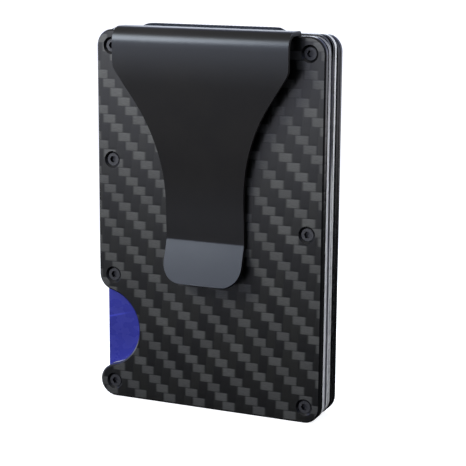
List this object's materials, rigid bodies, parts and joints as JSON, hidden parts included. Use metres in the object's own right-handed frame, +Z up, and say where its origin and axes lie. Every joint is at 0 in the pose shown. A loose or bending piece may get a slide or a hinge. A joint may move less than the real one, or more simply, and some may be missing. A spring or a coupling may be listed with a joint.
{
  "type": "money clip",
  "caption": "Slim card wallet with a spring money clip: screwed carbon plates on metal frames, held round a stack of cards by elastic bands.",
  "frame": {"origin": "centre of the bounding box's bottom face, where the wallet stands on its short end with the clip's bend at the top", "axes": "+X to the right seen from the clip side, towards the open side where cards come out; +Y from the clip side to the back plate; +Z up the long side, towards the clip's bend"},
  "size_m": [0.0555, 0.0162, 0.0873],
  "materials": {
    "carbon_fibre": "2x2 twill carbon fibre under a satin clear coat",
    "frame_aluminium": "black anodised, satin",
    "clip_steel": "satin black coating on spring steel",
    "elastic": "woven dark navy elastic",
    "screw_steel": "black oxide",
    "card_blue": "plain blue printed card, white core",
    "card_dark": "plain dark printed card",
    "card_white": "plain white card"
  },
  "bodies": {
    "front_side": {"front_plate": "carbon_fibre", "front_frame": "frame_aluminium", "clip_root": "clip_steel", "top_elastic": "elastic", "bottom_elastic": "elastic", "side_elastic": "elastic", "front_screw_1": "screw_steel", "front_screw_2": "screw_steel", "front_screw_3": "screw_steel", "front_screw_4": "screw_steel", "front_screw_5": "screw_steel", "front_screw_6": "screw_steel", "front_screw_7": "screw_steel"},
    "clip_spring": {"clip_arm": "clip_steel"},
    "back_side": {"back_plate": "carbon_fibre", "back_frame": "frame_aluminium", "back_screw_1": "screw_steel", "back_screw_2": "screw_steel", "back_screw_3": "screw_steel", "back_screw_4": "screw_steel", "back_screw_5": "screw_steel", "back_screw_6": "screw_steel", "back_screw_7": "screw_steel"},
    "card_1_body": {"card_1": "card_blue"},
    "card_2_body": {"card_2": "card_dark"},
    "card_3_body": {"card_3": "card_white"},
    "card_4_body": {"card_4": "card_white"},
    "card_5_body": {"card_5": "card_white"}
  },
  "joints": [
    {"name": "plate_spread", "type": "slide", "parent": "front_side", "child": "back_side", "axis": [0, 1, 0], "range_m": [0, 0.0055], "stiffness_N_per_m": 600, "springref_m": -0.002, "deforming": ["top_elastic", "bottom_elastic", "side_elastic"]},
    {"name": "clip_flex", "type": "hinge", "parent": "front_side", "child": "clip_spring", "pos_m": [0, -0.00425, 0.087], "axis": [-1, 0, 0], "range_deg": [0, 8], "stiffness_Nm_per_rad": 6, "springref_deg": -1.15},
    {"name": "card_1_slide", "type": "slide", "parent": "front_side", "child": "card_1_body", "axis": [1, 0, 0], "range_m": [0, 0.045]},
    {"name": "card_2_slide", "type": "slide", "parent": "front_side", "child": "card_2_body", "axis": [1, 0, 0], "range_m": [0, 0.036]},
    {"name": "card_3_slide", "type": "slide", "parent": "front_side", "child": "card_3_body", "axis": [1, 0, 0], "range_m": [0, 0.027]},
    {"name": "card_4_slide", "type": "slide", "parent": "front_side", "child": "card_4_body", "axis": [1, 0, 0], "range_m": [0, 0.018]},
    {"name": "card_5_slide", "type": "slide", "parent": "front_side", "child": "card_5_body", "axis": [1, 0, 0], "range_m": [0, 0.009]}
  ],
  "couplings": [
    {"joint": "card_2_slide", "follows": "card_1_slide", "ratio": 0.8},
    {"joint": "card_3_slide", "follows": "card_1_slide", "ratio": 0.6},
    {"joint": "card_4_slide", "follows": "card_1_slide", "ratio": 0.4},
    {"joint": "card_5_slide", "follows": "card_1_slide", "ratio": 0.2}
  ]
}
